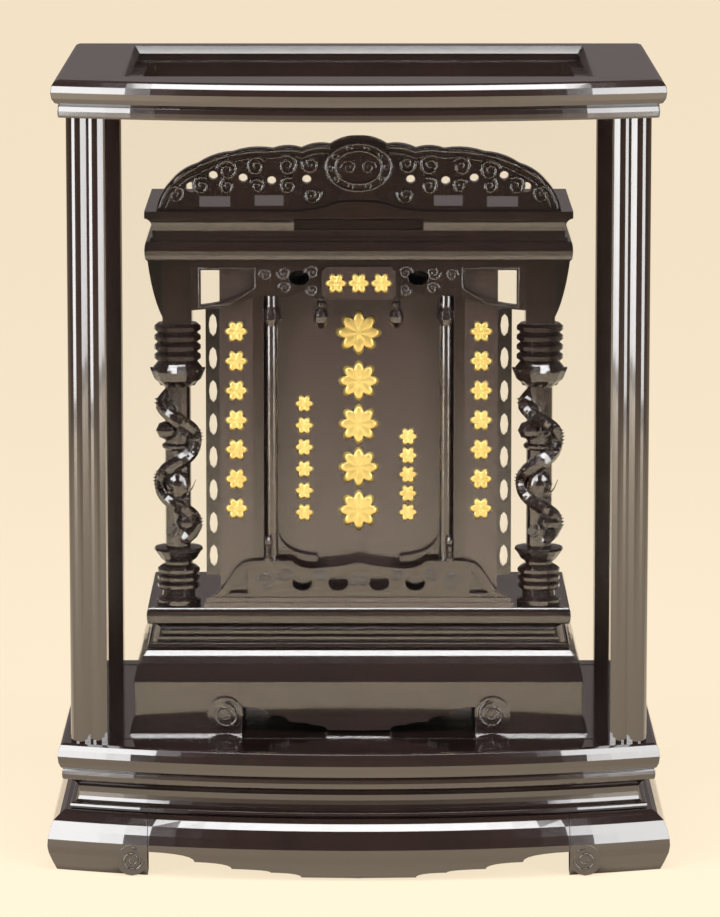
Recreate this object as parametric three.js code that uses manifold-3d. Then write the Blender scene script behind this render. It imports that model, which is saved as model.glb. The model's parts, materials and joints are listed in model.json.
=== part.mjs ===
// Ancestor shrine in a glazed four-post case, carved and lacquered wood.
// Millimetres, +Z up, front towards -Y, origin on the floor under the middle of the case.

import * as THREE from 'three';
import { mergeVertices } from 'three/addons/utils/BufferGeometryUtils.js';
import Module from 'manifold-3d';

const wasm = await Module();
wasm.setup();

// Clearances
const KERF = 0.3;
const RUN = 0.4;

// Case, measured over the widest line of its base plate
const CASE_WIDTH = 465;
const CASE_DEPTH = 330;
const BOW = 38;
const DRUM_HEIGHT = 46.5;
const DRUM_BULGE = 7.8;
const DRUM_WALL = 16;
const FOOT_REACH = 70;
const FOOT_DEPTH = 62;
const FOOT_SCROLL = 12;
const WAIST_HEIGHT = 24;
const BASE_PLATE_HEIGHT = 28.5;
const CASE_ROOM = 484;
const TOP_HEIGHT = 29;
const TOP_BEAD = 10;
const TOP_OPENING = 355;
const TOP_RAIL = 32;
const TOP_LEDGE = 8;
const TOP_PANE_DROP = 12;

// Posts and panes
const POST_SIZE = 28.5;
const POST_SIDE_INSET = 10;
const POST_FRONT_INSET = 3;
const REED_DEPTH = 2.5;
const GLASS = 3;
const GROOVE_DEPTH = 5;
const PANE_ENTRY = 3;
const GLASS_LIFT = 10;

// Shrine, measured over its plates
const SHRINE_WIDTH = 330;
const SHRINE_DEPTH = 158;
const SHRINE_SETBACK = 50;
const BASE_HEIGHT = 63.3;
const BASE_FLARE = 13.2;
const BASE_WALL = 12;
const BASE_FOOT = 75;
const BASE_FOOT_SIDE = 45;
const BASE_SCROLL = 14;
const SHRINE_WAIST = 20.8;
const SHRINE_PLATE = 12.5;
const SILL_HEIGHT = 7.7;
const SILL_HALF = 120.5;
const SHRINE_ROOM = 264.6;
const SLAB_HEIGHT = 14.7;
const COVE_HEIGHT = 23.3;
const LIP_HEIGHT = 5.5;

// Front of the shrine, from the plates' edge backwards
const APRON_SETBACK = 6;
const APRON_THICK = 8;
const STILE_THICK = 16;
const BOARD_THICK = 8;
const BOARD_SLOT = 4;
const BOARD_LIFT = 9;
const BOARD_HALF = 67;
const NAME_OPENING = 62.6;
const STILE_WIDTH = 19.7;
const COUPLET_WIDTH = 25.4;
const BOX_DEPTH = 46;
const BOX_WALL = 10;
const BOX_BACK = 8;
const SLIP_COUNT = 3;
const SLIP_THICK = 5;
const SLIP_HEIGHT = 190;

// Columns
const COLUMN_X = 140.5;
const COLUMN_SETBACK = 22;
const COLUMN_TOP_SIZE = 22.5;
const SHAFT_RADIUS = 10;
const DRAGON_GIRTH = 6;
const DRAGON_WINDS = 1.75;

// Crown
const CROWN_THICK = 12;
const CROWN_SETBACK = 8;
const MEDALLION_THICK = 6;

// Smoothness
const BOW_STEPS = 24;
const TURN_STEPS = 16;

// Levels of the case above the floor
const WAIST_TOP = DRUM_HEIGHT + WAIST_HEIGHT;
const CASE_FLOOR = WAIST_TOP + BASE_PLATE_HEIGHT;
const TOP_UNDER = CASE_FLOOR + CASE_ROOM;
const CASE_TOP = TOP_UNDER + TOP_HEIGHT;

// Plan of the case
const CASE_FRONT = -(CASE_DEPTH - BOW) / 2;
const CASE_BACK = CASE_FRONT + CASE_DEPTH;
const BOW_RADIUS = (CASE_WIDTH ** 2 / 4 + BOW ** 2) / (2 * BOW);
const BOW_CENTRE = CASE_FRONT - BOW + BOW_RADIUS;
const POST_X = CASE_WIDTH / 2 - POST_SIDE_INSET - POST_SIZE / 2;
const POST_FRONT = CASE_FRONT + POST_FRONT_INSET + POST_SIZE / 2;
const POST_BACK = CASE_BACK - POST_SIDE_INSET - POST_SIZE / 2;

// Levels of the shrine above the case floor
const PLATE_UNDER = BASE_HEIGHT + SHRINE_WAIST;
const PLATE_TOP = PLATE_UNDER + SHRINE_PLATE;
const SILL_TOP = PLATE_TOP + SILL_HEIGHT;
const SLAB_UNDER = SILL_TOP + SHRINE_ROOM;
const SLAB_TOP = SLAB_UNDER + SLAB_HEIGHT;
const LIP_TOP = SLAB_TOP + COVE_HEIGHT;

// Depths of the shrine, from its middle
const EDGE_FRONT = -SHRINE_DEPTH / 2;
const APRON_FRONT = EDGE_FRONT + APRON_SETBACK;
const APRON_BACK = APRON_FRONT + APRON_THICK;
const STILE_BACK = APRON_BACK + STILE_THICK;
const BOARD_BACK = STILE_BACK + KERF + BOARD_THICK;
const BOX_REAR = STILE_BACK + BOX_DEPTH;
const COLUMN_Y = EDGE_FRONT + COLUMN_SETBACK;
const CROWN_BACK = EDGE_FRONT + CROWN_SETBACK + CROWN_THICK;

// Reach of a saw cut beyond the corner that it divides
const SAW_OUT = 120;
const SAW_IN = 30;
const FAR = 600;

const lacquer = new THREE.MeshStandardMaterial({ color: 0x2a1a15, roughness: 0.14, metalness: 0 });
const boardLacquer = new THREE.MeshStandardMaterial({ color: 0x332622, roughness: 0.2, metalness: 0 });
const paleWood = new THREE.MeshStandardMaterial({ color: 0x9a7a52, roughness: 0.6, metalness: 0 });
const glass = new THREE.MeshStandardMaterial({ color: 0xeef4f2, roughness: 0.03, transparent: true, opacity: 0.15 });

// Turns a closed three.js geometry into a solid whose faces point out.
function toSolid(geometry) {
  const bare = geometry.clone();
  bare.deleteAttribute('normal');
  bare.deleteAttribute('uv');
  const merged = mergeVertices(bare);
  const position = merged.attributes.position;
  const corner = [0, 1, 2].map(() => new THREE.Vector3());
  const triangles = [];
  let volume = 0;
  for (let k = 0; k < merged.index.count; k += 3) {
    const [a, b, c] = [0, 1, 2].map((n) => merged.index.getX(k + n));
    if (a === b || b === c || c === a) continue;
    triangles.push([a, b, c]);
    [a, b, c].forEach((vertex, n) => corner[n].fromBufferAttribute(position, vertex));
    volume += corner[0].dot(corner[1].clone().cross(corner[2]));
  }
  const triVerts = new Uint32Array(triangles.flatMap(([a, b, c]) => (volume > 0 ? [a, b, c] : [a, c, b])));
  const vertProperties = new Float32Array(position.array);
  return new wasm.Manifold(new wasm.Mesh({ numProp: 3, vertProperties, triVerts }));
}

function toGeometry(solid) {
  const mesh = solid.getMesh();
  const geometry = new THREE.BufferGeometry();
  geometry.setAttribute('position', new THREE.BufferAttribute(new Float32Array(mesh.vertProperties), 3));
  geometry.setIndex(new THREE.BufferAttribute(new Uint32Array(mesh.triVerts), 1));
  geometry.computeVertexNormals();
  return geometry;
}

function place(group, name, solid, material, position = [0, 0, 0], turn = 0) {
  const mesh = new THREE.Mesh(toGeometry(solid), material.clone());
  mesh.name = name;
  mesh.position.set(...position);
  mesh.rotation.z = turn;
  group.add(mesh);
}

function block([x0, x1], [y0, y1], [z0, z1]) {
  const box = new THREE.BoxGeometry(x1 - x0, y1 - y0, z1 - z0);
  return toSolid(box.translate((x0 + x1) / 2, (y0 + y1) / 2, (z0 + z1) / 2));
}

// Board standing across the case: outline in x and z, thickness from its back face towards the front.
function board(outline, back, thickness, curveSegments = 6) {
  const options = { depth: thickness, bevelEnabled: false, curveSegments };
  return new THREE.ExtrudeGeometry(outline, options).rotateX(Math.PI / 2).translate(0, back, 0);
}

// Board standing along the case: outline in y and z, between two values of x.
function sideBoard(outline, [x0, x1]) {
  const options = { depth: x1 - x0, bevelEnabled: false, curveSegments: 6 };
  return new THREE.ExtrudeGeometry(outline, options).rotateX(Math.PI / 2).rotateZ(Math.PI / 2).translate(x0, 0, 0);
}

// Moulded length standing up: outline in x and y, between two levels.
function standing(outline, [z0, z1], curveSegments = 6) {
  const options = { depth: z1 - z0, bevelEnabled: false, curveSegments };
  return new THREE.ExtrudeGeometry(outline, options).translate(0, 0, z0);
}

function turned(profile, steps = TURN_STEPS) {
  const points = profile.map(([radius, z]) => new THREE.Vector2(radius, z));
  return new THREE.LatheGeometry(points, steps).rotateX(Math.PI / 2);
}

function mirrored(geometry) {
  return geometry.clone().scale(-1, 1, 1);
}

function bothSides(geometry) {
  return toSolid(geometry).add(toSolid(mirrored(geometry)));
}

// Closed body through a list of level rings, each turning the same way round with as many points.
function loft(rings) {
  const count = rings[0].length;
  const last = (rings.length - 1) * count;
  const index = [];
  for (let ring = 0; ring < last; ring += count) {
    for (let k = 0; k < count; k++) {
      const a = ring + k;
      const b = ring + (k + 1) % count;
      index.push(a, b, b + count, a, b + count, a + count);
    }
  }
  for (let k = 1; k + 1 < count; k++) {
    index.push(0, k + 1, k);
    index.push(last, last + k, last + k + 1);
  }
  const geometry = new THREE.BufferGeometry();
  geometry.setAttribute('position', new THREE.Float32BufferAttribute(rings.flat(2), 3));
  geometry.setIndex(index);
  return toSolid(geometry);
}

function rectangleRing(half, front, back, z) {
  return [[-half, front, z], [half, front, z], [half, back, z], [-half, back, z]];
}

// Plan of the case at one level: a bowed front and three straight sides, drawn in by inset.
function caseRing([inset, z]) {
  const half = CASE_WIDTH / 2 - inset;
  const radius = BOW_RADIUS - inset;
  const sweep = Math.asin(half / radius);
  const points = [];
  for (let k = 0; k <= BOW_STEPS; k++) {
    const angle = sweep * (2 * k / BOW_STEPS - 1);
    points.push([radius * Math.sin(angle), BOW_CENTRE - radius * Math.cos(angle), z]);
  }
  points.push([half, CASE_BACK - inset, z], [-half, CASE_BACK - inset, z]);
  return points;
}

function shrineRing([inset, z]) {
  return rectangleRing(SHRINE_WIDTH / 2 - inset, EDGE_FRONT + inset, -EDGE_FRONT - inset, z);
}

// Half-round between two levels, standing proud of a face at the given inset.
function halfRound(inset, proud, z0, z1, steps = 6) {
  const points = [];
  for (let k = 0; k <= steps; k++) {
    const angle = Math.PI * k / steps;
    points.push([inset - proud * Math.sin(angle), (z0 + z1) / 2 - (z1 - z0) / 2 * Math.cos(angle)]);
  }
  return points;
}

// Cove or ogee step through one control point.
function bend(start, control, end, steps = 4) {
  const curve = new THREE.QuadraticBezierCurve(...[start, control, end].map(([x, y]) => new THREE.Vector2(x, y)));
  return curve.getPoints(steps).map((point) => [point.x, point.y]);
}

function swell(points, steps) {
  const curve = new THREE.SplineCurve(points.map(([inset, z]) => new THREE.Vector2(inset, z)));
  return curve.getPoints(steps).map((point) => [point.x, point.y]);
}

// Cusped lower edge of an apron: share of the half length from the middle, and height above the floor.
const CUSPS = [[1, 20], [0.776, 13.4], [0.6, 8.5], [0.415, 6.2], [0.27, 2.4], [0, 2]];

function cuspedCut(half, middle = 0) {
  const shape = new THREE.Shape();
  const left = CUSPS.map(([share, z]) => [middle - share * half, z]);
  const right = CUSPS.map(([share, z]) => [middle + share * half, z]).reverse();
  shape.moveTo(middle - half - 1, -1);
  shape.lineTo(middle - half - 1, left[0][1]);
  shape.lineTo(...left[0]);
  for (let k = 1; k < left.length; k++) shape.quadraticCurveTo(left[k][0], left[k - 1][1], ...left[k]);
  for (let k = 1; k < right.length; k++) shape.quadraticCurveTo(right[k - 1][0], right[k][1], ...right[k]);
  shape.lineTo(middle + half + 1, right[right.length - 1][1]);
  shape.lineTo(middle + half + 1, -1);
  return shape;
}

// Saws a four-sided frame along its corner mitres. outer and inner are { half, front, back }.
function mitreFrame(frame, outer, inner, [z0, z1]) {
  const corners = [[-1, -1], [1, -1], [1, 1], [-1, 1]];
  const cuts = corners.map(([sx, sy]) => {
    const pick = (plan) => new THREE.Vector2(sx * plan.half, sy < 0 ? plan.front : plan.back);
    const along = pick(inner).sub(pick(outer)).normalize();
    return { start: pick(outer).addScaledVector(along, -SAW_OUT), end: pick(inner).addScaledVector(along, SAW_IN) };
  });
  let sawn = frame;
  for (const { start, end } of cuts) {
    const along = end.clone().sub(start);
    const blade = new THREE.BoxGeometry(along.length(), KERF, z1 - z0 + 2).rotateZ(along.angle());
    sawn = sawn.subtract(toSolid(blade.translate((start.x + end.x) / 2, (start.y + end.y) / 2, (z0 + z1) / 2)));
  }
  const pieces = {};
  ['front', 'right', 'back', 'left'].forEach((side, k) => {
    const [a, b] = [cuts[k], cuts[(k + 1) % cuts.length]];
    const outline = new THREE.Shape([a.start, b.start, b.end, a.end]);
    pieces[side] = sawn.intersect(toSolid(standing(outline, [z0 - 1, z1 + 1])));
  });
  return pieces;
}

const CORNERS = {
  front_left: [-1, -1],
  front_right: [1, -1],
  back_right: [1, 1],
  back_left: [-1, 1],
};

// Case base: a bulging drum sawn into four scrolled feet and four cusped aprons.
function addDrum(group) {
  const profile = swell([[-1, 0], [-7.2, 14], [-DRUM_BULGE, 25], [-3.4, 39], [5.4, DRUM_HEIGHT]], 8);
  const hollow = [[DRUM_WALL, -1], [DRUM_WALL, DRUM_HEIGHT + 1]];
  const drum = loft(profile.map(caseRing)).subtract(loft(hollow.map(caseRing)));
  const footX = CASE_WIDTH / 2 - FOOT_REACH;
  const footFront = CASE_FRONT + FOOT_DEPTH;
  const footBack = CASE_BACK - FOOT_DEPTH;
  const tall = [-1, DRUM_HEIGHT + 1];
  const scrollX = footX + FOOT_SCROLL;
  const scrollZ = FOOT_SCROLL + 0.5;
  const face = {
    '-1': BOW_CENTRE - Math.sqrt((BOW_RADIUS + DRUM_BULGE) ** 2 - scrollX ** 2),
    '1': CASE_BACK + DRUM_BULGE,
  };
  const scroll = new THREE.CylinderGeometry(FOOT_SCROLL, FOOT_SCROLL, DRUM_WALL, TURN_STEPS);

  for (const [corner, [sx, sy]] of Object.entries(CORNERS)) {
    const across = sx < 0 ? [-FAR, -footX] : [footX, FAR];
    const along = sy < 0 ? [-FAR, footFront] : [footBack, FAR];
    const scrollY = sy < 0 ? footFront - FOOT_SCROLL : footBack + FOOT_SCROLL;
    const sideX = CASE_WIDTH / 2 + DRUM_BULGE - DRUM_WALL / 2;
    const endScroll = scroll.clone().translate(sx * scrollX, face[sy] - sy * DRUM_WALL / 2, scrollZ);
    const sideScroll = scroll.clone().rotateZ(Math.PI / 2).translate(sx * sideX, scrollY, scrollZ);
    const foot = drum.intersect(block(across, along, tall)).add(toSolid(endScroll)).add(toSolid(sideScroll));
    place(group, `case_foot_${corner}`, foot, lacquer);
  }

  const endCut = board(cuspedCut(footX), FAR, 2 * FAR);
  const sideMiddle = (footFront + footBack) / 2;
  const sideCut = sideBoard(cuspedCut((footBack - footFront) / 2, sideMiddle), [-FAR, FAR]);
  const span = [-footX + KERF, footX - KERF];
  const sideSpan = [footFront + KERF, footBack - KERF];
  const aprons = {
    front: [span, [-FAR, 0], endCut],
    back: [span, [0, FAR], endCut],
    left: [[-FAR, 0], sideSpan, sideCut],
    right: [[0, FAR], sideSpan, sideCut],
  };
  for (const [side, [across, along, cut]] of Object.entries(aprons)) {
    const apron = drum.intersect(block(across, along, tall)).subtract(toSolid(cut));
    place(group, `case_apron_${side}`, apron, lacquer);
  }
}

// Panes, drawn larger by grow when they cut their own grooves.
function crossPane(y, [z0, z1], grow = 0) {
  const half = POST_X - POST_SIZE / 2 + GROOVE_DEPTH - RUN + grow;
  return block([-half, half], [y - GLASS / 2 - grow, y + GLASS / 2 + grow], [z0, z1]);
}

function sidePane(x, [z0, z1], grow = 0) {
  const reach = GROOVE_DEPTH - RUN + grow;
  const front = POST_FRONT + POST_SIZE / 2 - reach;
  const back = POST_BACK - POST_SIZE / 2 + reach;
  return block([x - GLASS / 2 - grow, x + GLASS / 2 + grow], [front, back], [z0, z1]);
}

const PANE_FOOT = CASE_FLOOR - PANE_ENTRY;
const PANE_HEAD = TOP_UNDER + PANE_ENTRY;

function withGrooves(solid, levels, frontLevels) {
  return solid.subtract(crossPane(POST_FRONT, frontLevels, RUN)).subtract(crossPane(POST_BACK, levels, RUN))
    .subtract(sidePane(-POST_X, levels, RUN)).subtract(sidePane(POST_X, levels, RUN));
}

function addWaistAndPlate(group) {
  const step = DRUM_HEIGHT + 4.5;
  const coveFoot = step + 8;
  const waist = [
    ...halfRound(10.5, 1.5, DRUM_HEIGHT, step, 4),
    ...bend([10.5, step], [16.3, step], [16.3, coveFoot]),
    ...bend([16.3, coveFoot], [16.3, WAIST_TOP - 1.5], [5, WAIST_TOP]),
  ];
  place(group, 'case_waist', loft(waist.map(caseRing)), lacquer);

  const bead = WAIST_TOP + 8;
  const plate = [...halfRound(4.2, 1, WAIST_TOP, bead, 4), ...halfRound(4.7, 4.7, bead, CASE_FLOOR)];
  const groove = [PANE_FOOT, CASE_FLOOR + 1];
  place(group, 'case_base_plate', withGrooves(loft(plate.map(caseRing)), groove, groove), lacquer);
}

// Corner post: two reeded outer faces and a glass groove in each inner face, drawn for the front left corner.
function addPosts(group) {
  const half = POST_SIZE / 2;
  const slot = GLASS / 2 + RUN;
  const floor = half - GROOVE_DEPTH;
  const reeds = (steps) => Array.from({ length: steps + 1 }, (_, k) => {
    const share = k / steps;
    return [share * (POST_SIZE - REED_DEPTH), REED_DEPTH * (1 - Math.abs(Math.sin(2 * Math.PI * share)))];
  });
  const face = reeds(12);
  const sideFace = face.map(([run, sunk]) => [-half + sunk, half - run]);
  const frontFace = face.map(([run, sunk]) => [half - run, -half + sunk]).reverse();
  const outline = [
    ...sideFace, ...frontFace.slice(1),
    [half, -slot], [floor, -slot], [floor, slot], [half, slot],
    [half, half], [slot, half], [slot, floor], [-slot, floor], [-slot, half],
  ];
  const shape = new THREE.Shape(outline.map(([x, y]) => new THREE.Vector2(x, y)));
  const post = toSolid(standing(shape, [0, CASE_ROOM]));
  Object.entries(CORNERS).forEach(([corner, [sx, sy]], quarter) => {
    const spot = [sx * POST_X, sy < 0 ? POST_FRONT : POST_BACK, CASE_FLOOR];
    place(group, `case_post_${corner}`, post, lacquer, spot, quarter * Math.PI / 2);
  });
}

// Top frame: four mitred rails round a rebate that holds the top pane.
function addTopFrame(group) {
  const bead = TOP_UNDER + TOP_BEAD;
  const profile = [...halfRound(5, 1, TOP_UNDER, bead, 4), ...halfRound(5, 6, bead, CASE_TOP)];
  const opening = { half: TOP_OPENING / 2, front: CASE_FRONT + TOP_RAIL, back: CASE_BACK - TOP_RAIL };
  const seat = CASE_TOP - TOP_PANE_DROP;
  const openingRing = ([out, z]) => rectangleRing(opening.half + out, opening.front - out, opening.back + out, z);
  const edge = [[-TOP_LEDGE, TOP_UNDER - 1], [-TOP_LEDGE, seat], [0, seat], [0, seat + 6], [5, CASE_TOP + 1]];
  const solid = loft(profile.map(caseRing)).subtract(loft(edge.map(openingRing)));
  const fixed = [TOP_UNDER - 1, PANE_HEAD + RUN];
  const deep = [TOP_UNDER - 1, PANE_HEAD + GLASS_LIFT + 1];
  const outer = { half: CASE_WIDTH / 2, front: CASE_FRONT, back: CASE_BACK };
  const rails = mitreFrame(withGrooves(solid, fixed, deep), outer, opening, [TOP_UNDER, CASE_TOP]);
  for (const [side, rail] of Object.entries(rails)) place(group, `top_rail_${side}`, rail, lacquer);

  const half = opening.half - RUN;
  const pane = block([-half, half], [opening.front + RUN, opening.back - RUN], [seat, seat + GLASS]);
  place(group, 'pane_top', pane, glass);
}

function addPanes(group) {
  const levels = [PANE_FOOT, PANE_HEAD];
  place(group, 'front_glass', crossPane(POST_FRONT, levels), glass);
  place(group, 'pane_back', crossPane(POST_BACK, levels), glass);
  place(group, 'pane_left', sidePane(-POST_X, levels), glass);
  place(group, 'pane_right', sidePane(POST_X, levels), glass);
}

// Shrine base: four mitred boards with scrolled feet and cusped lower edges.
function addShrineBase(group) {
  const profile = swell([[-BASE_FLARE, 0], [-9, 13], [-9.7, 40], [-6, 54], [0, BASE_HEIGHT]], 8);
  const hollow = [[BASE_WALL, -1], [BASE_WALL, BASE_HEIGHT + 1]];
  const drum = loft(profile.map(shrineRing)).subtract(loft(hollow.map(shrineRing)));
  const half = SHRINE_WIDTH / 2;
  const outer = { half, front: EDGE_FRONT, back: -EDGE_FRONT };
  const inner = { half: half - BASE_WALL, front: EDGE_FRONT + BASE_WALL, back: -EDGE_FRONT - BASE_WALL };
  const boards = mitreFrame(drum, outer, inner, [0, BASE_HEIGHT]);
  const acrossCut = toSolid(board(cuspedCut(half - BASE_FOOT), FAR, 2 * FAR));
  const alongCut = toSolid(sideBoard(cuspedCut(SHRINE_DEPTH / 2 - BASE_FOOT_SIDE + BASE_FLARE), [-FAR, FAR]));
  const disc = new THREE.CylinderGeometry(BASE_SCROLL, BASE_SCROLL, BASE_WALL, TURN_STEPS);
  const scrolls = disc.translate(half - BASE_FOOT + BASE_SCROLL, EDGE_FRONT - BASE_FLARE + BASE_WALL / 2, BASE_SCROLL + 0.5);
  const front = boards.front.subtract(acrossCut).add(toSolid(scrolls)).add(toSolid(mirrored(scrolls)));
  place(group, 'shrine_base_front', front, lacquer);
  place(group, 'shrine_base_back', boards.back.subtract(acrossCut), lacquer);
  place(group, 'shrine_base_left', boards.left.subtract(alongCut), lacquer);
  place(group, 'shrine_base_right', boards.right.subtract(alongCut), lacquer);
}

function addShrineFloor(group) {
  const bead = BASE_HEIGHT + 6.2;
  const waist = [
    ...halfRound(3, 2.5, BASE_HEIGHT, bead, 4), [8, bead], [8, bead + 3],
    ...bend([12, bead + 3], [12, PLATE_UNDER - 2], [3.5, PLATE_UNDER]),
  ];
  place(group, 'shrine_waist', loft(waist.map(shrineRing)), lacquer);
  place(group, 'shrine_plate', loft(halfRound(1.5, 1.5, PLATE_UNDER, PLATE_TOP).map(shrineRing)), lacquer);

  const step = PLATE_TOP + SILL_HEIGHT / 2;
  const sillRing = ([inset, z]) => rectangleRing(SILL_HALF - inset, EDGE_FRONT + 2 + inset, BOX_REAR + BOX_BACK + 2, z);
  const sill = loft([[0, PLATE_TOP], [0, step], [2, step], [2, SILL_TOP]].map(sillRing));
  const slot = block([-BOARD_HALF - RUN, BOARD_HALF + RUN], [STILE_BACK, BOARD_BACK + KERF], [SILL_TOP - BOARD_SLOT, SILL_TOP + 1]);
  place(group, 'shrine_sill', sill.subtract(slot), boardLacquer);
}

// Dragon on a column: its body winds from side to side across the front of the shaft.
class DragonPath extends THREE.Curve {
  constructor(z0, z1) {
    super();
    this.z0 = z0;
    this.z1 = z1;
  }

  getPoint(t, target = new THREE.Vector3()) {
    const reach = SHAFT_RADIUS - 6 + 9 * Math.min(1, Math.min(t, 1 - t) / 0.08);
    const angle = -Math.PI / 2 + 1.3 * Math.sin(2 * Math.PI * DRAGON_WINDS * t + 0.4);
    return target.set(reach * Math.cos(angle), reach * Math.sin(angle), this.z0 + (this.z1 - this.z0) * t);
  }
}

function makeColumn() {
  const top = SLAB_UNDER - PLATE_TOP;
  const square = top - 50;
  const capital = top - 100;
  const bead = (z, height, inner, outer) => [
    [inner, z], [outer, z + height * 0.3], [outer, z + height * 0.7], [inner, z + height],
  ];
  const profile = [
    [0, 0], [17, 0], [17, 4], [13, 7], [12.5, 11],
    ...bead(12, 6, 14.5, 16.5), ...bead(18, 6, 14.5, 16.5), ...bead(24, 6, 14.5, 16.5),
    [11, 32], [11, 34], [14, 36], [19, 43], [18.5, 45], [SHAFT_RADIUS, 46.5],
    [SHAFT_RADIUS, 122], ...bead(122.5, 4.5, SHAFT_RADIUS + 1, SHAFT_RADIUS + 2.5), [SHAFT_RADIUS, 127.5],
    [SHAFT_RADIUS, capital - 1], [12, capital], [18, capital + 5], [21, capital + 12], [17, capital + 17],
    ...[0, 1, 2, 3].flatMap((ring) => bead(capital + 19 + 7.5 * ring, 7.5, 15.5, 18)),
    [0, square],
  ];
  const body = new THREE.Shape().absarc(0, 0, DRAGON_GIRTH, 0, 2 * Math.PI);
  const path = new DragonPath(50, capital - 4);
  const dragon = new THREE.ExtrudeGeometry(body, { steps: 44, curveSegments: 4, bevelEnabled: false, extrudePath: path });
  const head = new THREE.SphereGeometry(1, 10, 8).scale(10, 8, 13).translate(0, -12, 96);
  const cloud = new THREE.SphereGeometry(1, 8, 6).scale(9, 7, 8);
  const side = COLUMN_TOP_SIZE / 2;
  return toSolid(turned(profile))
    .add(block([-side, side], [-side, side], [square - 1, top]))
    .add(toSolid(dragon))
    .add(toSolid(head))
    .add(toSolid(cloud.clone().translate(-8, -8, 138)))
    .add(toSolid(cloud.translate(7, -9, 66)));
}

function addColumns(group) {
  const column = makeColumn();
  const side = COLUMN_TOP_SIZE / 2;
  const bracketOutline = new THREE.Shape();
  bracketOutline.moveTo(-COLUMN_X - side, SLAB_UNDER);
  bracketOutline.lineTo(-COLUMN_X - side - 12, SLAB_UNDER);
  bracketOutline.quadraticCurveTo(-COLUMN_X - side - 8, SLAB_UNDER - 32, -COLUMN_X - side, SLAB_UNDER - 47);
  const bracket = board(bracketOutline, COLUMN_Y + 3, 6);
  const thick = 6;
  const rear = block([-thick, thick], [-thick, thick], [0, SLAB_UNDER - PLATE_TOP]);
  for (const [side_, sx] of [['left', -1], ['right', 1]]) {
    place(group, `column_${side_}`, column, lacquer, [sx * COLUMN_X, COLUMN_Y, PLATE_TOP]);
    place(group, `bracket_${side_}`, toSolid(sx < 0 ? bracket : mirrored(bracket)), lacquer);
    place(group, `rear_post_${side_}`, rear, lacquer, [sx * (COLUMN_X + 6), -EDGE_FRONT - 16, PLATE_TOP]);
  }
}

// Panels between the columns: pierced wing, couplet board and moulded stile on each side.
function addSidePanels(group) {
  const coupletIn = NAME_OPENING + STILE_WIDTH;
  const coupletOut = coupletIn + COUPLET_WIDTH;
  const wing = new THREE.Shape();
  const [wingIn, wingOut, wingFoot, wingHead] = [coupletOut - 8, COLUMN_X - 21.5, PLATE_TOP + 21, SLAB_UNDER - 41];
  wing.moveTo(wingIn, wingFoot);
  wing.lineTo(wingOut, wingFoot);
  wing.lineTo(wingOut, wingHead);
  wing.lineTo(wingIn, wingHead);
  const pitch = 26;
  for (let z = wingFoot + 15; z < wingHead - 12; z += pitch) {
    const hole = new THREE.Path();
    hole.absellipse((coupletOut + wingOut) / 2, z, 3.2, 9, 0, 2 * Math.PI);
    wing.holes.push(hole);
  }

  const rod = 5.05;
  const rodX = NAME_OPENING + rod;
  const stile = new THREE.Shape();
  stile.moveTo(coupletIn, APRON_BACK);
  stile.lineTo(coupletIn, STILE_BACK);
  stile.lineTo(NAME_OPENING, STILE_BACK);
  stile.lineTo(NAME_OPENING, APRON_BACK + rod + 0.3);
  stile.absarc(rodX, APRON_BACK + rod + 0.3, rod, Math.PI, 2 * Math.PI);
  stile.lineTo(rodX + rod + 1, APRON_BACK);
  const spandrel = new THREE.Shape();
  spandrel.moveTo(NAME_OPENING + 2, SILL_TOP);
  spandrel.lineTo(32, SILL_TOP);
  spandrel.lineTo(32, SILL_TOP + 29.7);
  spandrel.quadraticCurveTo(NAME_OPENING - 4, SILL_TOP + 31, NAME_OPENING, SILL_TOP + 47);
  spandrel.lineTo(NAME_OPENING + 2, SILL_TOP + 47);
  const bulbFoot = SILL_TOP + 209;
  const bulb = turned([[0, 0], [4, 1], [8, 8], [7, 13], [5, 18], [0, 19]]).translate(rodX, APRON_BACK + rod + 0.3, bulbFoot);
  const stileSolid = toSolid(standing(stile, [SILL_TOP, SLAB_UNDER]))
    .add(toSolid(board(spandrel, STILE_BACK - 2, 6)))
    .add(toSolid(bulb));
  const couplet = block([coupletIn, coupletOut], [APRON_BACK, STILE_BACK], [SILL_TOP, SLAB_UNDER]);

  const stileGeometry = toGeometry(stileSolid);
  const coupletGeometry = toGeometry(couplet);
  const wingGeometry = board(wing, STILE_BACK + 6, 6, 4);
  for (const [side, turn] of [['left', mirrored], ['right', (geometry) => geometry]]) {
    place(group, `wing_${side}`, toSolid(turn(wingGeometry)), lacquer);
    place(group, `couplet_${side}`, toSolid(turn(coupletGeometry)), boardLacquer);
    place(group, `name_stile_${side}`, toSolid(turn(stileGeometry)), lacquer);
  }
}

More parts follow.
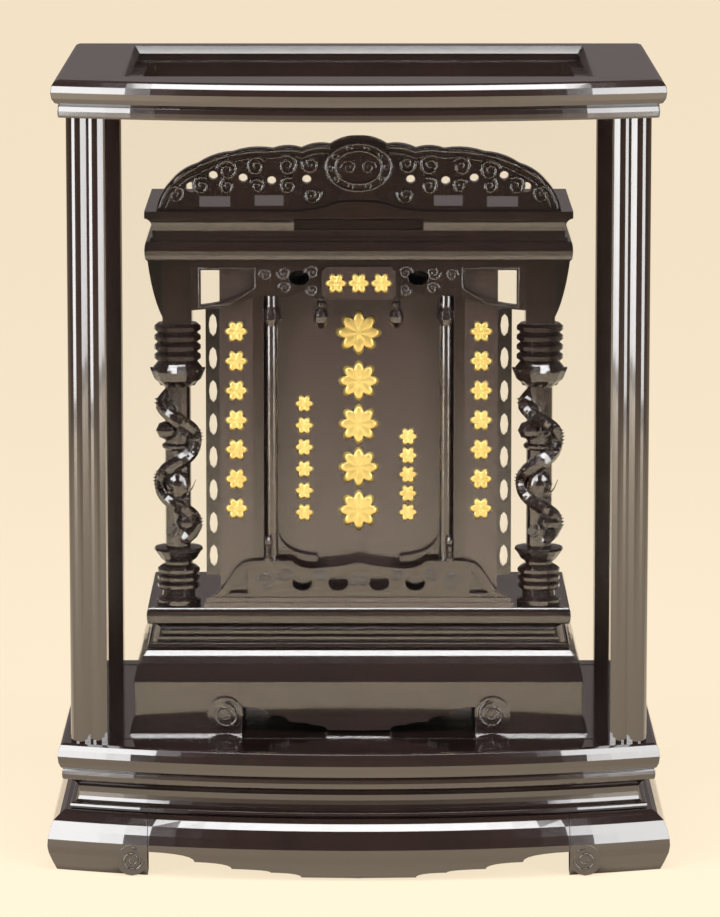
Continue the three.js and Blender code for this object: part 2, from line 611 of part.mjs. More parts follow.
// Name box: two cheeks with a rebate for the sliding name board, a back, and loose slips inside.
function addNameBox(group) {
  const inside = BOARD_HALF - 7;
  const recess = BOARD_HALF + RUN;
  const cheek = new THREE.Shape([
    [recess, STILE_BACK], [recess + BOX_WALL, STILE_BACK], [recess + BOX_WALL, BOX_REAR],
    [inside, BOX_REAR], [inside, BOARD_BACK + KERF], [recess, BOARD_BACK + KERF],
  ].map(([x, y]) => new THREE.Vector2(x, y)));
  const cheekGeometry = standing(cheek, [SILL_TOP, SLAB_UNDER]);
  place(group, 'box_cheek_left', toSolid(mirrored(cheekGeometry)), boardLacquer);
  place(group, 'box_cheek_right', toSolid(cheekGeometry), boardLacquer);
  const reach = recess + BOX_WALL;
  place(group, 'box_back', block([-reach, reach], [BOX_REAR, BOX_REAR + BOX_BACK], [SILL_TOP, SLAB_UNDER]), boardLacquer);

  const boardFoot = SILL_TOP - BOARD_SLOT;
  const boardHead = SLAB_UNDER - 22;
  const name = new THREE.Shape();
  name.moveTo(-BOARD_HALF, boardFoot);
  name.lineTo(BOARD_HALF, boardFoot);
  name.lineTo(BOARD_HALF, boardHead - 10);
  name.quadraticCurveTo(0, boardHead + 10, -BOARD_HALF, boardHead - 10);
  place(group, 'name_board', toSolid(board(name, BOARD_BACK, BOARD_THICK)), boardLacquer);

  const slipHalf = inside - 1;
  const slip = new THREE.Shape();
  slip.moveTo(-slipHalf, 0);
  slip.lineTo(slipHalf, 0);
  slip.lineTo(slipHalf, SLIP_HEIGHT - 12);
  slip.quadraticCurveTo(0, SLIP_HEIGHT + 12, -slipHalf, SLIP_HEIGHT - 12);
  const slipSolid = toSolid(board(slip, 0, SLIP_THICK));
  for (let k = 1; k <= SLIP_COUNT; k++) {
    const back = BOARD_BACK + 1 + k * (SLIP_THICK + 1);
    place(group, `name_slip_${k}`, slipSolid, paleWood, [0, back, SILL_TOP]);
  }
}

function addAprons(group) {
  const rise = SILL_TOP + 28.5;
  const [toe, shoulder] = [118.2, 83.1];
  const bottom = new THREE.Shape();
  bottom.moveTo(0, SILL_TOP);
  bottom.lineTo(toe, SILL_TOP);
  bottom.bezierCurveTo(toe - 18, SILL_TOP, shoulder + 18, rise, shoulder, rise);
  bottom.lineTo(52, rise);
  bottom.quadraticCurveTo(46, rise - 6, 36, rise - 6);
  bottom.quadraticCurveTo(16, rise - 5, 0, rise - 1);
  const window_ = new THREE.Path();
  window_.moveTo(shoulder + 18, SILL_TOP + 3);
  window_.lineTo(shoulder + 3, SILL_TOP + 3);
  window_.lineTo(shoulder + 3, rise - 5);
  bottom.holes.push(window_);
  for (const x of [16, 44]) {
    const hole = new THREE.Path();
    hole.absellipse(x, SILL_TOP + 11, 8, 6, 0, 2 * Math.PI);
    bottom.holes.push(hole);
  }
  place(group, 'bottom_apron', bothSides(board(bottom, APRON_BACK, APRON_THICK)), lacquer);

  const post = COLUMN_X - COLUMN_TOP_SIZE / 2;
  const mid = SLAB_UNDER - 30.3;
  const outer = SLAB_UNDER - 39.4;
  const top = new THREE.Shape();
  top.moveTo(0, mid);
  top.lineTo(33, mid);
  top.quadraticCurveTo(40, mid + 6, 47, mid + 5);
  top.quadraticCurveTo(54, mid - 2, 62, mid + 2);
  top.lineTo(78, mid + 2);
  top.quadraticCurveTo(98, outer + 2, post, outer);
  top.lineTo(post, SLAB_UNDER);
  top.lineTo(0, SLAB_UNDER);
  const pane = new THREE.Path();
  pane.moveTo(81.6, mid + 7);
  pane.lineTo(81.6, SLAB_UNDER - 8);
  pane.lineTo(121.9, SLAB_UNDER - 8);
  pane.lineTo(121.9, outer + 4);
  pane.quadraticCurveTo(100, outer + 6, 81.6, mid + 7);
  top.holes.push(pane);
  const eye = new THREE.Path();
  eye.absellipse(46, SLAB_UNDER - 14, 8, 6, 0, 2 * Math.PI);
  top.holes.push(eye);
  place(group, 'top_apron', bothSides(board(top, APRON_BACK, APRON_THICK)), lacquer);

  const [plaqueHalf, notch] = [28.5, 3];
  const plaque = new THREE.Shape();
  plaque.absarc(plaqueHalf, mid, notch, Math.PI, Math.PI / 2, true);
  plaque.absarc(plaqueHalf, mid + 25.4, notch, 1.5 * Math.PI, Math.PI, true);
  plaque.absarc(-plaqueHalf, mid + 25.4, notch, 2 * Math.PI, 1.5 * Math.PI, true);
  plaque.absarc(-plaqueHalf, mid, notch, Math.PI / 2, 0, true);
  place(group, 'plaque', toSolid(board(plaque, APRON_FRONT, 5, 3)), boardLacquer);

  const pendant = toSolid(turned([
    [0, -24], [2, -23], [5.5, -18.5], [6.2, -14.2], [4.5, -10], [2, -8],
    [3.5, -5.5], [3.5, -3.5], [2.2, -2], [2.2, 0], [0, 0],
  ]));
  const finial = toSolid(turned([
    [0, 0], [4, 0], [4, 2], [2, 3.5], [2, 6], [3.4, 7.5], [2, 9], [2, 11], [3.9, 13.5], [3.9, 16], [2.4, 18.5], [0, 19.4],
  ], 12));
  const middle = (APRON_FRONT + APRON_BACK) / 2;
  for (const [side, sx] of [['left', -1], ['right', 1]]) {
    place(group, `pendant_${side}`, pendant, lacquer, [sx * 29, middle, mid]);
    place(group, `finial_${side}`, finial, lacquer, [sx * 70.7, middle, rise]);
  }
}

function addCornice(group) {
  place(group, 'cornice_slab', loft(halfRound(1.5, 1.5, SLAB_UNDER, SLAB_TOP).map(shrineRing)), lacquer);
  const lipFoot = LIP_TOP - LIP_HEIGHT;
  const fillet = SLAB_TOP + 2.9;
  const cove = [
    [4, SLAB_TOP], [4, fillet], [6, fillet], ...bend([6, fillet + 5], [6, lipFoot - 2], [0.8, lipFoot]),
    [0, lipFoot], [0, LIP_TOP],
  ];
  const arch = new THREE.Shape();
  arch.moveTo(58, LIP_TOP - 1);
  arch.quadraticCurveTo(30, LIP_TOP + 1, 22, LIP_TOP + 5);
  arch.quadraticCurveTo(12, LIP_TOP + 7.9, 0, LIP_TOP + 7.9);
  arch.lineTo(0, LIP_TOP - 1);
  const hollow = block([-50, 50], [EDGE_FRONT - 1, EDGE_FRONT + 12], [fillet + 5.2, lipFoot - 1.4]);
  const body = loft(cove.map(shrineRing)).subtract(hollow).add(bothSides(board(arch, EDGE_FRONT + CROWN_SETBACK - 1, CROWN_SETBACK - 1)));
  place(group, 'cornice_cove', body, lacquer);
}

// Crown: scalloped and pierced board with an oval medallion on a tapering stand.
const CROWN_LOBES = [[156, 0], [145, 22], [124, 36], [97, 45], [66, 47.5], [44, 48], [22, 51], [0, 57]];
const CROWN_EYES = [[129, 18, 4], [112, 27, 3.5], [89, 25, 3.5], [67, 23, 3.5], [40, 24, 3.5]];
const CROWN_SLOTS = [[99, 122.6, 3], [58, 80, 3.7]];

function addCrown(group) {
  const crown = new THREE.Shape();
  crown.moveTo(0, LIP_TOP);
  CROWN_LOBES.forEach(([x, z], k) => {
    if (k === 0) {
      crown.lineTo(x, LIP_TOP + z);
      return;
    }
    const [px, pz] = CROWN_LOBES[k - 1];
    const [dx, dz] = [x - px, z - pz];
    const length = Math.hypot(dx, dz);
    const bulge = Math.min(4, length / 6);
    crown.quadraticCurveTo((px + x) / 2 + dz / length * bulge, LIP_TOP + (pz + z) / 2 - dx / length * bulge, x, LIP_TOP + z);
  });
  for (const [x, z, radius] of CROWN_EYES) {
    const eye = new THREE.Path();
    eye.absarc(x, LIP_TOP + z, radius, 0, 2 * Math.PI);
    crown.holes.push(eye);
  }
  for (const [x0, x1, foot] of CROWN_SLOTS) {
    const slot = new THREE.Path();
    slot.moveTo(x0, LIP_TOP + foot);
    slot.lineTo(x1, LIP_TOP + foot);
    slot.lineTo(x1, LIP_TOP + foot + 8);
    slot.lineTo(x0, LIP_TOP + foot + 8);
    crown.holes.push(slot);
  }
  place(group, 'crown_board', bothSides(board(crown, CROWN_BACK, CROWN_THICK, 5)), lacquer);

  const medallion = new THREE.Shape().absellipse(0, LIP_TOP + 34, 27, 19.5, 0, 2 * Math.PI);
  const stand = new THREE.Shape([[-16, 8.6], [16, 8.6], [9, 20], [-9, 20]].map(([x, z]) => new THREE.Vector2(x, LIP_TOP + z)));
  const front = CROWN_BACK - CROWN_THICK;
  const solid = toSolid(board(medallion, front, MEDALLION_THICK, 14)).add(toSolid(board(stand, front, MEDALLION_THICK)));
  place(group, 'crown_medallion', solid, lacquer);
}

const product = new THREE.Group();
addDrum(product);
addWaistAndPlate(product);
addPosts(product);
addTopFrame(product);
addPanes(product);

const shrine = new THREE.Group();
shrine.position.set(0, CASE_FRONT + SHRINE_SETBACK + SHRINE_DEPTH / 2, CASE_FLOOR);
addShrineBase(shrine);
addShrineFloor(shrine);
addColumns(shrine);
addSidePanels(shrine);
addNameBox(shrine);
addAprons(shrine);
addCornice(shrine);
addCrown(shrine);
product.add(shrine);

export default product;
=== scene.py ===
# %% [markdown]
# # An ancestor shrine in a glazed case
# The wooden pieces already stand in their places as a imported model. This lesson gives them their finish
# and adds what
# a carver and a gilder add last: raised scrollwork, a dragon's spines, and gilded rosettes on the boards.
# Everything is
# in metres, in the model's own frame, so a new piece is placed by asking the model where its neighbour is.

# %% Load the model
import json
from math import cos, hypot, pi, radians, sin

import bpy
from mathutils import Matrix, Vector


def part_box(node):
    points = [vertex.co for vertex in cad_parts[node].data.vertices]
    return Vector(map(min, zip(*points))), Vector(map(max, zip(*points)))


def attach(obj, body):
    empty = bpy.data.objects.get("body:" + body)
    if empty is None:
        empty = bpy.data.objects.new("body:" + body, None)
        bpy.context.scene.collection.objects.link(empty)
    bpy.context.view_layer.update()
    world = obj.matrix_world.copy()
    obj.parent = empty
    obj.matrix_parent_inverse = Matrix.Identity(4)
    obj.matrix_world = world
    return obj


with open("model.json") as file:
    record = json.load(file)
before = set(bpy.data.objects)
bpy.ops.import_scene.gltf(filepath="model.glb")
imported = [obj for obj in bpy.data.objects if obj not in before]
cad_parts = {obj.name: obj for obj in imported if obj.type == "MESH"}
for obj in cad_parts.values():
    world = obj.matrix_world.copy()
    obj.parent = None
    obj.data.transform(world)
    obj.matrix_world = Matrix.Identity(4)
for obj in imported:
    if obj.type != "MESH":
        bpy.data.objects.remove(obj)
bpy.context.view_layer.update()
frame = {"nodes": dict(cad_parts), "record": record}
nodes = frame["nodes"]
MM = 0.001
print("nodes", len(nodes))

# %% [markdown]
# ## Shader sums that read like sums
# A material is a graph of nodes. Written node by node it hides its idea, so one small class wraps an
# output socket and
# lets Python's own operators add the Math nodes. Every other node comes from one method, which takes its
# type, its
# settings and what goes into its sockets.


# %% A socket that can be added and multiplied
class Wire:
    def __init__(self, finish, socket):
        self.finish = finish
        self.socket = socket

    def _sum(self, operation, first, second):
        return self.finish.node("ShaderNodeMath", {"operation": operation}, {0: first, 1: second})

    def __add__(self, other):
        return self._sum("ADD", self, other)

    def __radd__(self, other):
        return self._sum("ADD", other, self)

    def __sub__(self, other):
        return self._sum("SUBTRACT", self, other)

    def __rsub__(self, other):
        return self._sum("SUBTRACT", other, self)

    def __mul__(self, other):
        return self._sum("MULTIPLY", self, other)

    def __rmul__(self, other):
        return self._sum("MULTIPLY", other, self)


class Finish:
    """A material, or a world, whose nodes are made one call at a time."""

    def __init__(self, owner):
        owner.use_nodes = True
        self.tree = owner.node_tree
        self.tree.nodes.clear()

    def node(self, kind, settings=None, inputs=None, output=0):
        made = self.tree.nodes.new(kind)
        for name, value in (settings or {}).items():
            setattr(made, name, value)
        for name, value in (inputs or {}).items():
            if isinstance(value, Wire):
                self.tree.links.new(value.socket, made.inputs[name])
            else:
                made.inputs[name].default_value = value
        return Wire(self, made.outputs[output]) if made.outputs else None

    def place(self):
        return self.node("ShaderNodeTexCoord", output="Object")

    def noise(self, scale, detail=3.0, stretch=(1, 1, 1)):
        where = self.node("ShaderNodeMapping", inputs={"Vector": self.place(), "Scale": stretch})
        return self.node("ShaderNodeTexNoise", inputs={"Vector": where, "Scale": scale, "Detail": detail})

    def blend(self, factor, first, second):
        return self.node(
            "ShaderNodeMix", {"data_type": "RGBA"}, {0: factor, 6: (*first, 1), 7: (*second, 1)}, output=2
        )

    def bump(self, height, strength, distance):
        soft = self.node("ShaderNodeBevel", {"samples": 4}, {"Radius": 0.6 * MM})
        return self.node(
            "ShaderNodeBump", inputs={"Strength": strength, "Distance": distance, "Height": height, "Normal": soft}
        )


def surface(name, build):
    material = bpy.data.materials.new(name)
    finish = Finish(material)
    shader = build(finish)
    finish.node("ShaderNodeOutputMaterial", inputs={"Surface": shader})
    print("finish", name)
    return material


# %% [markdown]
# ## Lacquer
# Black-brown lacquer is a clear hard film over stained wood. The film gives sharp white reflections, and
# under it the
# stain is a little uneven along the grain. A coat over a dark base does both. Its roughness drifts
# slightly, and a very
# shallow bump makes the reflections waver as brushed and rubbed lacquer does.


# %% Lacquer, board lacquer and gilding
def lacquer(dark, brown, roughness, grain):
    def build(finish):
        stain = finish.noise(22, 4, grain)
        rubbing = finish.noise(60, 2)
        return finish.node(
            "ShaderNodeBsdfPrincipled",
            inputs={
                "Base Color": finish.blend(stain, dark, brown),
                "Roughness": roughness + rubbing * 0.08,
                "Normal": finish.bump(rubbing + finish.noise(9, 2) * 2, 0.12, 0.3 * MM),
                "Coat Weight": 0.8,
                "Coat Roughness": 0.04,
            },
        )

    return build


def gilding(finish):
    leaf = finish.noise(180, 4)
    worn = finish.noise(35, 3)
    return finish.node(
        "ShaderNodeBsdfPrincipled",
        inputs={
            "Base Color": finish.blend(worn, (0.40, 0.28, 0.07), (0.58, 0.44, 0.15)),
            "Metallic": 0.55,
            "Roughness": 0.26 + leaf * 0.18,
            "Normal": finish.bump(leaf, 0.25, 0.2 * MM),
        },
    )


def planed_wood(finish):
    grain = finish.noise(40, 5, (1, 1, 0.08))
    return finish.node(
        "ShaderNodeBsdfPrincipled",
        inputs={
            "Base Color": finish.blend(grain, (0.26, 0.16, 0.08), (0.46, 0.31, 0.17)),
            "Roughness": 0.5 + grain * 0.2,
            "Normal": finish.bump(grain, 0.2, 0.2 * MM),
        },
    )


def clear_glass(finish):
    ripple = finish.noise(6, 1)
    return finish.node(
        "ShaderNodeBsdfPrincipled",
        inputs={
            "Base Color": finish.blend(ripple, (0.010, 0.014, 0.013), (0.016, 0.020, 0.018)),
            "Roughness": 0.02,
            "Alpha": 0.015 + ripple * 0.01,
        },
    )


LACQUER = surface("black_brown_lacquer", lacquer((0.004, 0.002, 0.0015), (0.014, 0.007, 0.006), 0.10, (1, 1, 0.15)))
BOARD = surface("flat_board_lacquer", lacquer((0.018, 0.011, 0.010), (0.030, 0.020, 0.018), 0.16, (1, 1, 0.1)))
GOLD = surface("gilding", gilding)
WOOD = surface("planed_slip_wood", planed_wood)
GLASS = surface("clear_glass", clear_glass)

FINISHES = {"lacquer": LACQUER, "board_lacquer": BOARD, "slip_wood": WOOD, "glass": GLASS}
for row in frame["record"]["subparts"]:
    node = nodes[row["node"]]
    node.data.materials.clear()
    node.data.materials.append(FINISHES[row["material_slot"]])

# %% [markdown]
# ## Camera and room
# The photograph looks slightly down through a long lens from about four metres. Its upright lines are
# parallel, which a
# shifted lens gives, but a shift that large would spoil every other view, so the camera is tilted instead.

# %% Camera
FRONT_CORNERS_Y = -0.146
EYE_DISTANCE = 4.069
EYE_HEIGHT = 0.986
LOOK_DOWN = 9.27
LENS = 211.6

camera = bpy.data.objects.new("camera", bpy.data.cameras.new("camera"))
camera.data.lens = LENS
camera.data.sensor_width = 36
camera.location = (0.001, FRONT_CORNERS_Y - EYE_DISTANCE, EYE_HEIGHT)
camera.rotation_euler = (radians(90 - LOOK_DOWN), 0, 0)
bpy.context.scene.collection.objects.link(camera)
bpy.context.scene.camera = camera

# %% [markdown]
# ## Light
# Gloss shows its surroundings more than its own colour. Two tall soft boxes draw the long streaks on the
# posts and
# columns, one wide box lights the carving from above, and the pale room fills the rest.

# %% Lamps, world and floor
CREAM = (0.99, 0.845, 0.63)
ROOM = (0.17, 0.145, 0.14)


def soft_box(name, place, aim, size, power):
    data = bpy.data.lights.new(name, "AREA")
    data.shape = "RECTANGLE"
    data.size, data.size_y = size
    data.energy = power
    lamp = bpy.data.objects.new(name, data)
    lamp.location = place
    lamp.rotation_euler = (Vector(aim) - Vector(place)).to_track_quat("-Z", "Y").to_euler()
    bpy.context.scene.collection.objects.link(lamp)


MIDDLE = (0, 0, 0.3)
soft_box("left_box", (-1.5, -1.6, 0.9), MIDDLE, (0.9, 1.8), 62)
soft_box("right_box", (1.5, -1.6, 0.9), MIDDLE, (0.9, 1.8), 50)
soft_box("top_box", (0, -0.9, 2.0), MIDDLE, (1.6, 0.8), 55)

world = bpy.data.worlds.new("room")
bpy.context.scene.world = world
sky = Finish(world)


def seen_directly(finish):
    """1 on rays from the camera and through glass, else 0."""
    def ray(name):
        return finish.node("ShaderNodeLightPath", output=name)

    total = ray("Is Camera Ray") + ray("Is Transmission Ray")
    return finish.node("ShaderNodeMath", {"operation": "MINIMUM"}, {0: total, 1: 1.0})


sky_colour = sky.blend(seen_directly(sky), ROOM, CREAM)
shade = sky.node("ShaderNodeBackground", inputs={"Color": sky_colour, "Strength": 1.0})
sky.node("ShaderNodeOutputWorld", inputs={"Surface": shade})


def pale_floor(finish):
    lit = finish.node("ShaderNodeBsdfDiffuse", inputs={"Color": (*CREAM, 1)})
    bare = finish.node("ShaderNodeEmission", inputs={"Color": (*CREAM, 1), "Strength": 1.0})
    return finish.node("ShaderNodeMixShader", inputs={0: seen_directly(finish) * 0.88, 1: lit, 2: bare})


FLOOR_REACH = 60
floor_mesh = bpy.data.meshes.new("floor")
corners = [(x * FLOOR_REACH, y * FLOOR_REACH, 0) for x, y in ((-1, -1), (1, -1), (1, 1), (-1, 1))]
floor_mesh.from_pydata(corners, [], [(0, 1, 2, 3)])
floor = bpy.data.objects.new("floor", floor_mesh)
floor_mesh.materials.append(surface("pale_floor", pale_floor))
bpy.context.scene.collection.objects.link(floor)
bpy.context.scene.view_settings.view_transform = "Standard"

# %% [markdown]
# ## Raised scrollwork
# A carver cuts scrolls as raised rolls that taper to a point. A curve with a round bevel and a radius at
# each point is
# exactly that roll, and a spiral is a formula, so one helper draws every scroll on the crown, the aprons
# and the feet.


# %% Scroll helper
def carving(name, lines, thickness, material=LACQUER, body="case", closed=False):
    """Rolls along the given lines, each a list of (point, share of the thickness)."""
    data = bpy.data.curves.new(name, "CURVE")
    data.dimensions = "3D"
    data.bevel_depth = thickness / 2
    data.bevel_resolution = 3
    data.resolution_u = 4
    data.use_fill_caps = True
    for line in lines:
        spline = data.splines.new("POLY")
        spline.points.add(len(line) - 1)
        spline.use_cyclic_u = closed
        for point, (place, share) in zip(spline.points, line):
            point.co = (*place, 1)
            point.radius = share
    data.materials.append(material)
    made = bpy.data.objects.new(name, data)
    bpy.context.scene.collection.objects.link(made)
    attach(made, body)
    print("carving", name, len(lines))
    return made


def scroll(x, z, y, radius, hand=1, turns=1.6, start=0.0, steps=26):
    """A spiral in the plane of a front face, thick outside and fine at its eye."""
    line = []
    for k in range(steps + 1):
        t = k / steps
        angle = start + hand * 2 * pi * turns * t
        r = radius * (1 - 0.86 * t)
        line.append(((x + r * cos(angle), y, z + r * sin(angle)), 1 - 0.55 * t))
    return line


def both_hands(lines):
    return lines + [[((-x, y, z), share) for (x, y, z), share in line] for line in lines]


# %% [markdown]
# ## Crown
# The pierced crown has a raised scalloped rim, cloud scrolls between its piercings, and an oval medallion
# with a ring of
# petals. The rim follows the same lobes as the board, drawn a little inside its edge.

# %% Crown carving
crown_low, crown_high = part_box("crown_board")
crown_face = crown_low[1]
crown_foot = crown_low[2]
LOBES = [(156, 0), (145, 22), (124, 36), (97, 45), (66, 47.5), (44, 48), (22, 51)]


def rim(inset):
    line = []
    for (x0, z0), (x1, z1) in zip(LOBES, LOBES[1:]):
        length = hypot(x1 - x0, z1 - z0)
        bulge = min(4, length / 6)
        for k in range(7):
            t = k / 6
            lift = 4 * t * (1 - t) * bulge / 2
            x = x0 + (x1 - x0) * t + (z1 - z0) / length * (lift - inset)
            z = z0 + (z1 - z0) * t - (x1 - x0) / length * (lift - inset)
            line.append(((x * MM, crown_face, crown_foot + max(z, 2) * MM), 1))
    return line


carving("crown_rim", both_hands([rim(2.5)]), 3.6 * MM)
carving("crown_inner_rim", both_hands([rim(7.5)]), 1.6 * MM)
cloud_scrolls = [
    scroll(0.141, crown_foot + 0.012, crown_face, 0.0075, 1, 1.5, 0.6),
    scroll(0.121, crown_foot + 0.019, crown_face, 0.0075, -1, 1.5, 2.2),
    scroll(0.101, crown_foot + 0.031, crown_face, 0.0085, 1, 1.7, 0.2),
    scroll(0.101, crown_foot + 0.019, crown_face, 0.0060, -1, 1.5, 1.2),
    scroll(0.079, crown_foot + 0.034, crown_face, 0.0080, -1, 1.6, 2.6),
    scroll(0.078, crown_foot + 0.019, crown_face, 0.0060, 1, 1.5, 0.4),
    scroll(0.055, crown_foot + 0.035, crown_face, 0.0085, 1, 1.7, 0.9),
    scroll(0.054, crown_foot + 0.019, crown_face, 0.0070, -1, 1.6, 2.0),
    scroll(0.037, crown_foot + 0.036, crown_face, 0.0070, -1, 1.5, 0.3),
    scroll(0.036, crown_foot + 0.012, crown_face, 0.0070, 1, 1.5, 2.8),
]
carving("crown_scrolls", both_hands(cloud_scrolls), 3.4 * MM)

medallion_low, medallion_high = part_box("crown_medallion")
face = medallion_low[1]
centre_z = medallion_high[2] - 0.0195


def oval(share, steps=48):
    half_width, half_height = 27 * MM * share, 19.5 * MM * share
    angles = [2 * pi * k / steps for k in range(steps)]
    return [((half_width * cos(a), face, centre_z + half_height * sin(a)), 1) for a in angles]


carving("medallion_rings", [oval(0.93), oval(0.66)], 2.6 * MM, closed=True)
petals = []
for k in range(10):
    angle = 2 * pi * k / 10
    petals.append(scroll(0.0215 * cos(angle), centre_z + 0.0155 * sin(angle), face, 0.0030, 1, 1.2, angle))
petals += [scroll(0.0075, centre_z, face, 0.0060, 1, 1.5, 0), scroll(-0.0075, centre_z, face, 0.0060, -1, 1.5, pi)]
carving("medallion_petals", petals, 2.0 * MM)

# %% [markdown]
# ## Aprons
# The two aprons carry small paired scrolls beside their piercings and a thin raised bead along the windows.

# %% Apron and lip carving
apron_low, apron_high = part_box("top_apron")
apron_face = apron_low[1]
ceiling = apron_high[2]
top_scrolls = [
    scroll(0.036, ceiling - 0.010, apron_face, 0.0055, 1),
    scroll(0.036, ceiling - 0.023, apron_face, 0.0050, -1),
    scroll(0.058, ceiling - 0.010, apron_face, 0.0055, -1),
    scroll(0.057, ceiling - 0.022, apron_face, 0.0050, 1),
    scroll(0.072, ceiling - 0.012, apron_face, 0.0050, 1),
]
carving("top_apron_scrolls", both_hands(top_scrolls), 2.4 * MM)


def path(points, y):
    return [((x * MM, y, z), 1) for x, z in points]


window_bead = path(
    [
        (80, ceiling - 0.022),
        (80, ceiling - 0.0065),
        (123.5, ceiling - 0.0065),
        (123.5, ceiling - 0.037),
        (100, ceiling - 0.0345),
        (80, ceiling - 0.022),
    ],
    apron_face,
)
carving("window_beads", both_hands([window_bead]), 1.6 * MM)

low_low, low_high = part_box("bottom_apron")
sill_top = low_low[2]
low_face = low_low[1]
bottom_scrolls = [
    scroll(0.030, sill_top + 0.017, low_face, 0.0050, 1),
    scroll(0.004, sill_top + 0.014, low_face, 0.0045, -1),
    scroll(0.057, sill_top + 0.019, low_face, 0.0055, -1),
    scroll(0.072, sill_top + 0.012, low_face, 0.0070, 1, 1.8),
]
carving("bottom_apron_scrolls", both_hands(bottom_scrolls), 2.4 * MM)

# %% [markdown]
# ## Foot scrolls
# Every foot of the case and of the shrine ends in a curl. The disc is in the model already, and a spiral
# roll on it
# turns the disc into a scroll.

# %% Foot scrolls
CASE_DISC_X, CASE_DISC_Z, CASE_DISC_FACE = 0.1745, 0.0125, -0.1713
case_scroll = [scroll(CASE_DISC_X, CASE_DISC_Z, CASE_DISC_FACE, 0.0095, 1, 1.9, pi / 2)]
carving("case_foot_scrolls", both_hands(case_scroll), 3.0 * MM)
base_low, base_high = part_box("shrine_base_front")
shrine_scroll = [scroll(0.104, base_low[2] + 0.0145, base_low[1], 0.0112, 1, 1.9, pi / 2)]
carving("shrine_foot_scrolls", both_hands(shrine_scroll), 3.2 * MM)

# %% [markdown]
# ## Dragons on the columns
# The dragon's body is in the model. Its spines, whiskers and the clouds round it are small and sharp, so
# they are added
# here. The spines are cones set along the same winding path as the body.

# %% Spines and clouds
SHAFT = 10
WINDS = 1.75
DRAGON_FOOT, DRAGON_HEAD = 50, 168.3


def dragon_at(t):
    reach = SHAFT - 6 + 9 * min(1, min(t, 1 - t) / 0.08)
    angle = -pi / 2 + 1.3 * sin(2 * pi * WINDS * t + 0.4)
    return reach, angle, DRAGON_FOOT + (DRAGON_HEAD - DRAGON_FOOT) * t


def cone_mesh(name, cones, sides=6):
    verts, faces = [], []
    for base, tip, radius in cones:
        axis = (tip - base).normalized()
        side = axis.orthogonal().normalized()
        other = axis.cross(side)
        first = len(verts)
        for k in range(sides):
            a = 2 * pi * k / sides
            verts.append(base + side * radius * cos(a) + other * radius * sin(a))
        verts.append(tip)
        faces.append(tuple(range(first + sides - 1, first - 1, -1)))
        for k in range(sides):
            faces.append((first + k, first + (k + 1) % sides, first + sides))
    mesh = bpy.data.meshes.new(name)
    mesh.from_pydata([tuple(v) for v in verts], [], faces)
    return mesh


for side in ("left", "right"):
    low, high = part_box(f"column_{side}")
    axis_x = -0.1405 if side == "left" else 0.1405
    axis_y = low[1] + 0.021
    cones, whiskers, clouds = [], [], []
    for k in range(3, 42):
        reach, angle, z = dragon_at(k / 44)
        spot = Vector((axis_x + reach * cos(angle) * MM, axis_y + reach * sin(angle) * MM, low[2] + z * MM))
        out = Vector((cos(angle), sin(angle), 0.35)).normalized()
        cones.append((spot + out * 4.8 * MM, spot + out * 8.0 * MM, 1.6 * MM))
    column_spines = bpy.data.objects.new(f"dragon_spines_{side}", cone_mesh(f"dragon_spines_{side}", cones))
    column_spines.data.materials.append(LACQUER)
    bpy.context.scene.collection.objects.link(column_spines)
    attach(column_spines, "case")
    head = low[2] + 0.096
    for hand in (-1, 1):
        line = []
        for k in range(9):
            t = k / 8
            droop = (4 - 9 * sin(pi * t)) * MM
            spot = (axis_x + hand * (3 + 11 * t) * MM, axis_y - (19 - 6 * t) * MM, head + droop)
            line.append((spot, 1 - 0.8 * t))
        whiskers.append(line)
        horn = []
        for k in range(6):
            spot = (axis_x + hand * (3 + k) * MM, axis_y - 14 * MM, head + (9 + 11 * k / 5) * MM)
            horn.append((spot, 1 - 0.15 * k))
        whiskers.append(horn)
    for height, hand in ((60, -1), (80, 1), (114, -1), (138, 1), (154, -1)):
        clouds.append(scroll(axis_x + hand * 0.005, low[2] + height * MM, axis_y - 0.0135, 0.0055, hand, 1.5, 0.8))
    carving(f"dragon_whiskers_{side}", whiskers, 2.4 * MM)
    carving(f"column_clouds_{side}", clouds, 2.6 * MM)
    lotus = []
    capital = low[2] + (272.3 - 100) * MM
    for k in range(10):
        angle = 2 * pi * k / 10
        leaf = []
        for step in range(9):
            t = step / 8
            swing = angle + (t - 0.5) * 2 * pi / 10 * 0.9
            rise = sin(pi * t)
            radius = (13 + 7.5 * rise) * MM
            height = capital + (1 + 12.5 * rise) * MM
            leaf.append(((axis_x + radius * cos(swing), axis_y + radius * sin(swing), height), 1))
        lotus.append(leaf)
    carving(f"capital_petals_{side}", lotus, 2.0 * MM)

# %% [markdown]
# ## Gilded rosettes
# The boards bear gilded work in rows. Here each place holds a plain rosette: a low dome whose outline and
# height swell
# in petals. One function of the angle gives both, and the flat back closes it.


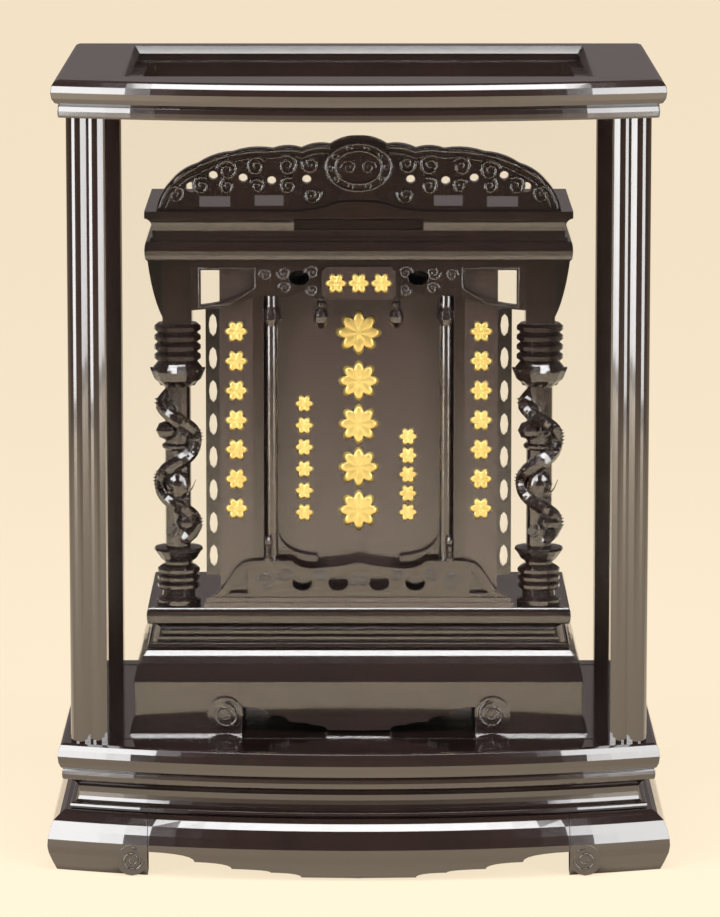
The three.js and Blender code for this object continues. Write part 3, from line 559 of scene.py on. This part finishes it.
# %% Rosettes on a board
def rosettes(name, places, body, petals=6, segments=48, rings=5, height=1.4 * MM):
    """Domes with petals, facing the front. places is a list of (x, y, z, radius)."""
    verts, faces = [], []
    for x, y, z, radius in places:
        centre = len(verts)
        verts.append((x, y - height, z))
        for ring in range(1, rings + 1):
            share = ring / rings
            for k in range(segments):
                angle = 2 * pi * k / segments
                swell = 2 * abs(cos(petals * angle / 2)) - 1
                r = radius * share * (1 + 0.20 * share * swell)
                bowl = 0.55 + 0.45 * abs(sin(pi * share * 1.5 + pi / 2))
                lift = 0 if ring == rings else height * bowl * (0.8 + 0.2 * swell)
                verts.append((x + r * cos(angle), y - lift, z + r * sin(angle)))
        back = len(verts)
        verts.append((x, y, z))
        first = centre + 1
        for k in range(segments):
            after = (k + 1) % segments
            faces.append((centre, first + k, first + after))
            for ring in range(rings - 1):
                inner, outer = first + ring * segments, first + (ring + 1) * segments
                faces.append((inner + k, outer + k, outer + after, inner + after))
            edge = first + (rings - 1) * segments
            faces.append((back, edge + after, edge + k))
    mesh = bpy.data.meshes.new(name)
    mesh.from_pydata(verts, [], faces)
    mesh.shade_smooth()
    mesh.materials.append(GOLD)
    made = bpy.data.objects.new(name, mesh)
    bpy.context.scene.collection.objects.link(made)
    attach(made, body)
    print("rosettes", name, len(places))


def row(x, y, low, high, count, radius):
    return [(x, y, low + (high - low) * k / (count - 1), radius) for k in range(count)]


board_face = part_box("name_board")[0][1]
centre_column = row(0, board_face, 0.268, 0.370, 4, 0.0135) + [(0, board_face, 0.408, 0.0150)]
rosettes("board_centre_rosettes", centre_column, "name_board", 8)
rosettes("board_left_rosettes", row(-0.0425, board_face, 0.266, 0.352, 6, 0.0062), "name_board", 6)
rosettes("board_right_rosettes", row(0.0385, board_face, 0.266, 0.326, 5, 0.0062), "name_board", 6)
for side, x in (("left", -0.095), ("right", 0.095)):
    couplet_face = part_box(f"couplet_{side}")[0][1]
    rosettes(f"couplet_rosettes_{side}", row(x, couplet_face, 0.272, 0.411, 7, 0.0075), "case", 6)
plaque_low, plaque_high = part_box("plaque")
middle_z = (plaque_low[2] + plaque_high[2]) / 2
rosettes("plaque_rosettes", [(x, plaque_low[1], middle_z, 0.0070) for x in (-0.0175, 0, 0.0175)], "case", 6)
